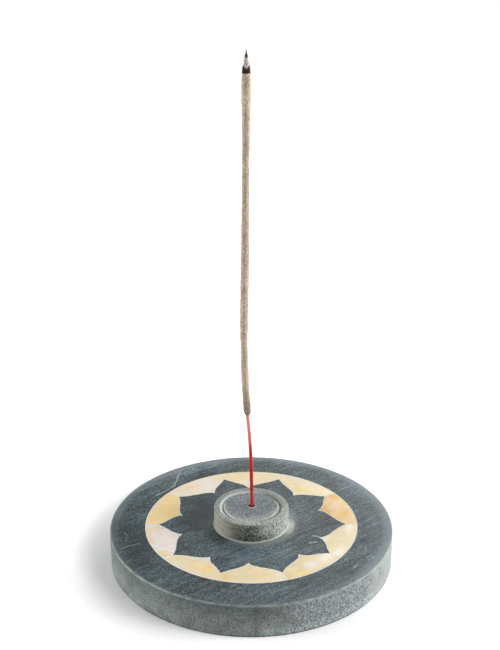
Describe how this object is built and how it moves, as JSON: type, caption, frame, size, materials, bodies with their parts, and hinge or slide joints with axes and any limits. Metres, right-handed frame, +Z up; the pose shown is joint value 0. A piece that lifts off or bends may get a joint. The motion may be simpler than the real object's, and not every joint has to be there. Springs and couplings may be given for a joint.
{
  "type": "incense stick holder",
  "caption": "Round stone incense stick holder with a raised centre boss, a lotus inlay of polished shell, and a partly burnt incense stick standing in its hole.",
  "frame": {"origin": "centre of the underside, on the surface it stands on", "axes": "+Z up along the boss and the stick; +X to the right with a petal's tip on it; +Y to the back"},
  "size_m": [0.1, 0.1, 0.1769],
  "materials": {
    "stone": "satin",
    "cement": "matte",
    "pearl": "gloss",
    "bamboo": "satin",
    "paste": "matte",
    "char": "matte",
    "ash": "matte"
  },
  "bodies": {
    "base": {"stone_base": "stone", "inlay_cement": "cement", "pearl_inlay_01": "pearl", "pearl_inlay_02": "pearl", "pearl_inlay_03": "pearl", "pearl_inlay_04": "pearl", "pearl_inlay_05": "pearl", "pearl_inlay_06": "pearl", "pearl_inlay_07": "pearl", "pearl_inlay_08": "pearl", "pearl_inlay_09": "pearl", "pearl_inlay_10": "pearl"},
    "stick": {"bamboo_core": "bamboo", "incense_paste": "paste", "charred_paste": "char", "ash_tip": "ash"}
  },
  "joints": [
    {"name": "stick_lift", "type": "slide", "parent": "base", "child": "stick", "axis": [0, 0, 1], "range_m": [0, 0.02]}
  ]
}
